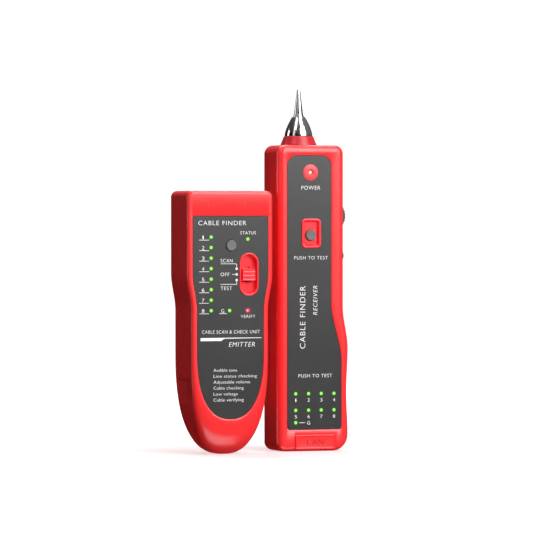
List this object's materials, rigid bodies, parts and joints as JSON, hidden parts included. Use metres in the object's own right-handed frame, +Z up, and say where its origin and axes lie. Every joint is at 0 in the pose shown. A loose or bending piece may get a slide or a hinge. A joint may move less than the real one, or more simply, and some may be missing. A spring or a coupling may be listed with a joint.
{
  "type": "circuit and cable finder",
  "caption": "Two-piece handheld finder: a tone emitter with lamps, a slide switch and sockets, and a receiver with a metal probe, volume wheel and battery door.",
  "frame": {"origin": "middle of the pair's footprint box, at the height of the surface both cases stand on", "axes": "+Z up towards the probe, -Y the way both faces look, +X from the emitter to the receiver"},
  "size_m": [0.1098, 0.0486, 0.215],
  "materials": {
    "red_case": "moulded satin gloss",
    "red_bright": "moulded satin gloss",
    "grey_label": "printed satin film",
    "grey_control": "moulded satin",
    "black_plastic": "moulded satin",
    "white_plastic": "moulded satin",
    "circuit_board": "lacquered glass laminate",
    "green_lamp": "clear tinted, lit",
    "red_lamp": "clear tinted, lit",
    "power_lamp": "clear tinted, lit",
    "gold_contact": "gold-plated springs",
    "screw_steel": "zinc-plated",
    "switch_steel": "stamped",
    "probe_chrome": "polished",
    "battery_jacket": "printed metal jacket",
    "speaker_metal": "blackened frame",
    "wire_dark": "soft insulation",
    "wire_red": "soft insulation",
    "wire_yellow": "soft insulation"
  },
  "bodies": {
    "receiver": {"receiver_front_cover": "red_case", "receiver_rear_cover": "red_case", "receiver_face_label": "grey_label", "receiver_circuit_board": "circuit_board", "receiver_microchips": "black_plastic", "receiver_network_jack": "black_plastic", "receiver_network_contacts": "gold_contact", "receiver_probe_tip": "probe_chrome", "receiver_probe_collar": "red_bright", "receiver_probe_nut": "screw_steel", "receiver_probe_lead": "wire_yellow", "receiver_volume_control": "black_plastic", "receiver_test_switch": "switch_steel", "receiver_power_lamp": "power_lamp", "receiver_channel_lamps": "green_lamp", "receiver_earphone_jack": "black_plastic", "receiver_speaker": "speaker_metal", "receiver_speaker_leads": "wire_red", "receiver_battery": "battery_jacket", "receiver_battery_snap": "black_plastic", "receiver_battery_leads": "wire_dark", "receiver_case_screws": "screw_steel", "receiver_board_screws": "screw_steel"},
    "emitter": {"emitter_front_cover": "red_case", "emitter_rear_cover": "red_case", "emitter_face_label": "grey_label", "emitter_circuit_board": "circuit_board", "emitter_microchips": "black_plastic", "emitter_network_jack": "black_plastic", "emitter_network_contacts": "gold_contact", "emitter_phone_jack": "black_plastic", "emitter_phone_contacts": "gold_contact", "emitter_mode_switch": "switch_steel", "emitter_tone_switch": "switch_steel", "emitter_channel_lamps": "green_lamp", "emitter_status_lamp": "green_lamp", "emitter_verify_lamp": "red_lamp", "emitter_battery": "battery_jacket", "emitter_battery_snap": "black_plastic", "emitter_battery_leads": "wire_dark", "emitter_case_screws": "screw_steel", "emitter_board_screws": "screw_steel"},
    "mode_knob": {"emitter_mode_knob": "red_bright", "emitter_mode_lever": "white_plastic"},
    "tone_button": {"emitter_tone_button": "grey_control"},
    "emitter_door": {"emitter_battery_door": "red_case"},
    "volume_wheel": {"receiver_volume_wheel": "grey_control"},
    "test_button": {"receiver_test_button": "grey_control"},
    "receiver_door": {"receiver_battery_door": "red_case"}
  },
  "joints": [
    {"name": "emitter_lift", "type": "slide", "parent": "receiver", "child": "emitter", "axis": [0, 0, 1], "range_m": [0, 0.1]},
    {"name": "mode_slide", "type": "slide", "parent": "emitter", "child": "mode_knob", "axis": [0, 0, 1], "range_m": [-0.0033, 0.0033]},
    {"name": "tone_press", "type": "slide", "parent": "emitter", "child": "tone_button", "axis": [0, 1, 0], "range_m": [0, 0.0006], "stiffness_N_per_m": 400, "springref_m": -0.0008},
    {"name": "emitter_door_hinge", "type": "hinge", "parent": "emitter", "child": "emitter_door", "pos_m": [-0.02855, 0.00658, 0.0353], "axis": [-1, 0, 0], "range_deg": [0, 80]},
    {"name": "volume_turn", "type": "hinge", "parent": "receiver", "child": "volume_wheel", "pos_m": [0.04545, 0.00857, 0.1395], "axis": [0, 1, 0], "range_deg": [-135, 135]},
    {"name": "test_press", "type": "slide", "parent": "receiver", "child": "test_button", "axis": [0, 1, 0], "range_m": [0, 0.0006], "stiffness_N_per_m": 400, "springref_m": -0.0008},
    {"name": "receiver_door_hinge", "type": "hinge", "parent": "receiver", "child": "receiver_door", "pos_m": [0.02945, 0.02233, 0.0273], "axis": [-1, 0, 0], "range_deg": [0, 80]}
  ]
}
